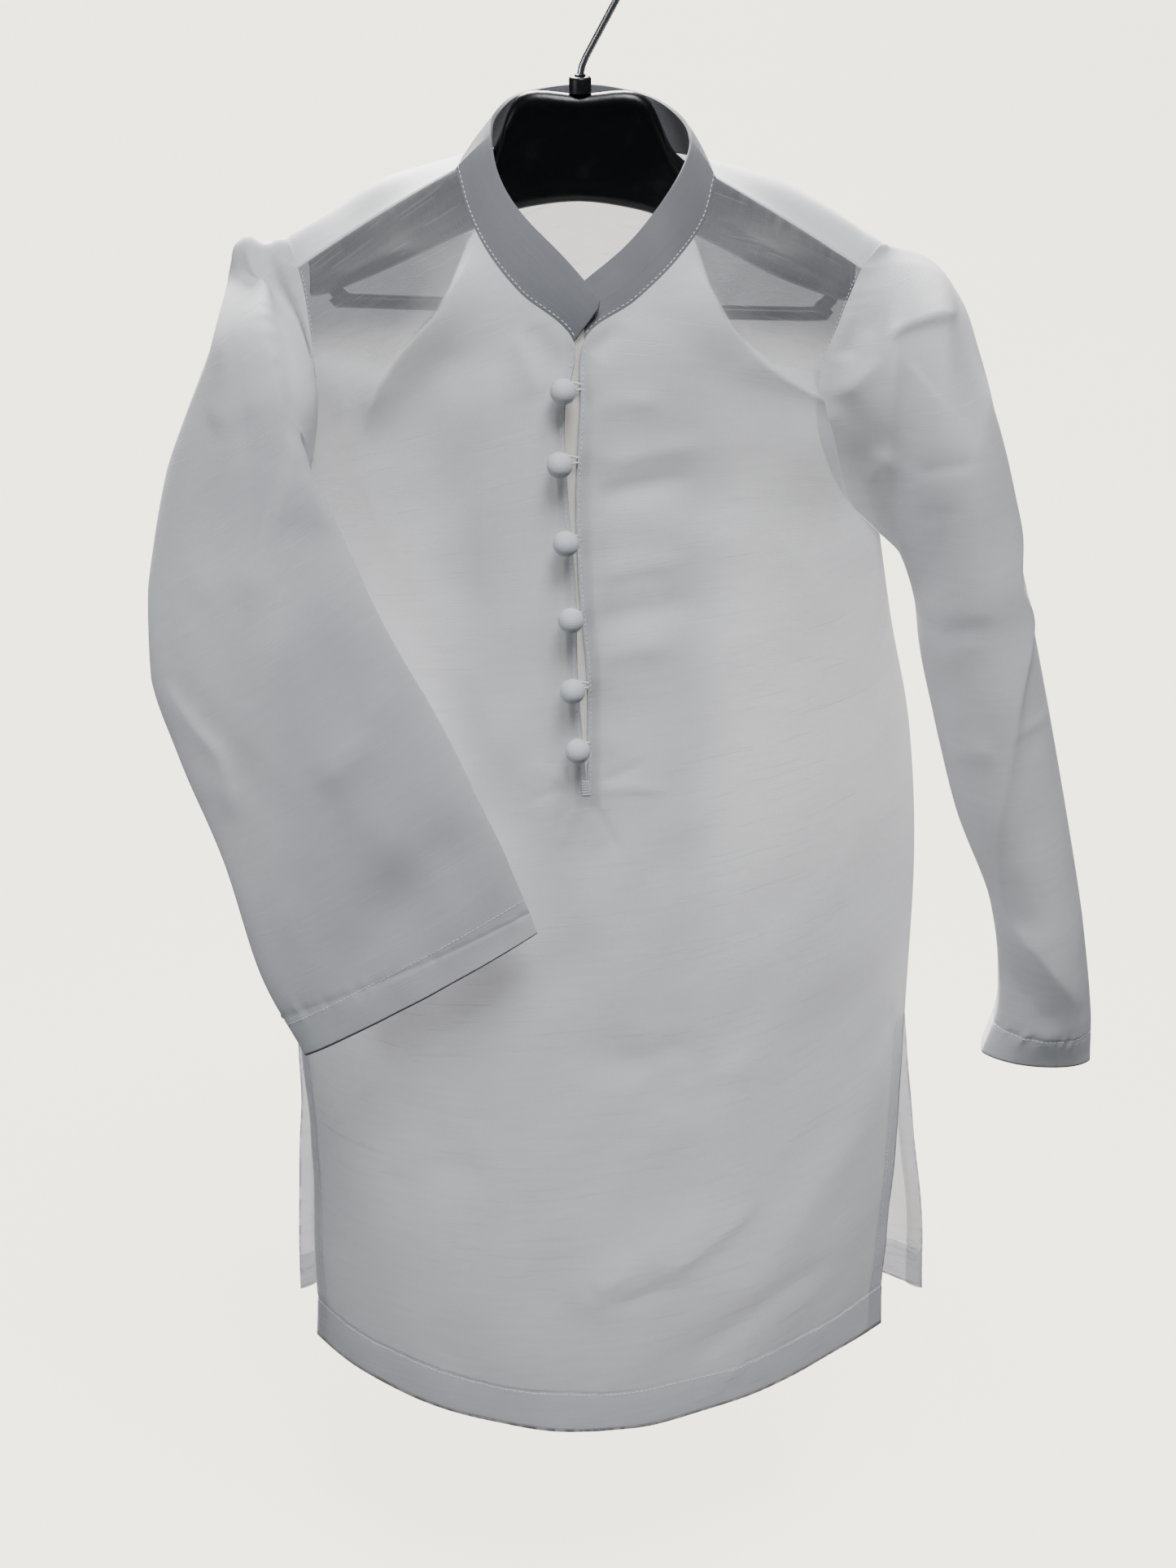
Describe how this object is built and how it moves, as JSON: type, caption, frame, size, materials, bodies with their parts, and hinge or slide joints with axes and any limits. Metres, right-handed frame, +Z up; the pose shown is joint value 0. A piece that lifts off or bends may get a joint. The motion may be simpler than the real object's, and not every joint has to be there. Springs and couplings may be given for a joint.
{
  "type": "kurta on a hanger",
  "caption": "Child's pull-over kurta in thin white cloth with stand collar, buttoned half placket, long sleeves and side vents, hanging on a moulded hanger with a wire hook.",
  "frame": {"origin": "inner top of the wire hook, where a rail or peg carries the part", "axes": "+Z up; the front of the garment faces -Y; +X is the wearer's left, at the right of the picture"},
  "size_m": [0.509, 0.19, 0.8094],
  "materials": {
    "cloth": "fine slubbed twill with a soft sheen",
    "trim": "plain cream cloth",
    "plastic": "black, glossy",
    "ferrule": "black, satin",
    "wire": "bright"
  },
  "bodies": {
    "root": {"front": "cloth", "front_skirt": "cloth", "back": "cloth", "back_skirt": "cloth", "sleeve_right": "cloth", "sleeve_right_forearm": "cloth", "sleeve_left": "cloth", "sleeve_left_forearm": "cloth", "collar": "cloth", "placket_underlap": "trim", "button_1": "cloth", "button_2": "cloth", "button_3": "cloth", "button_4": "cloth", "button_5": "cloth", "button_6": "cloth", "loop_1": "cloth", "loop_2": "cloth", "loop_3": "cloth", "loop_4": "cloth", "loop_5": "cloth", "loop_6": "cloth", "hanger_body": "plastic", "hanger_ferrule": "ferrule", "hook": "wire"}
  },
  "joints": []
}
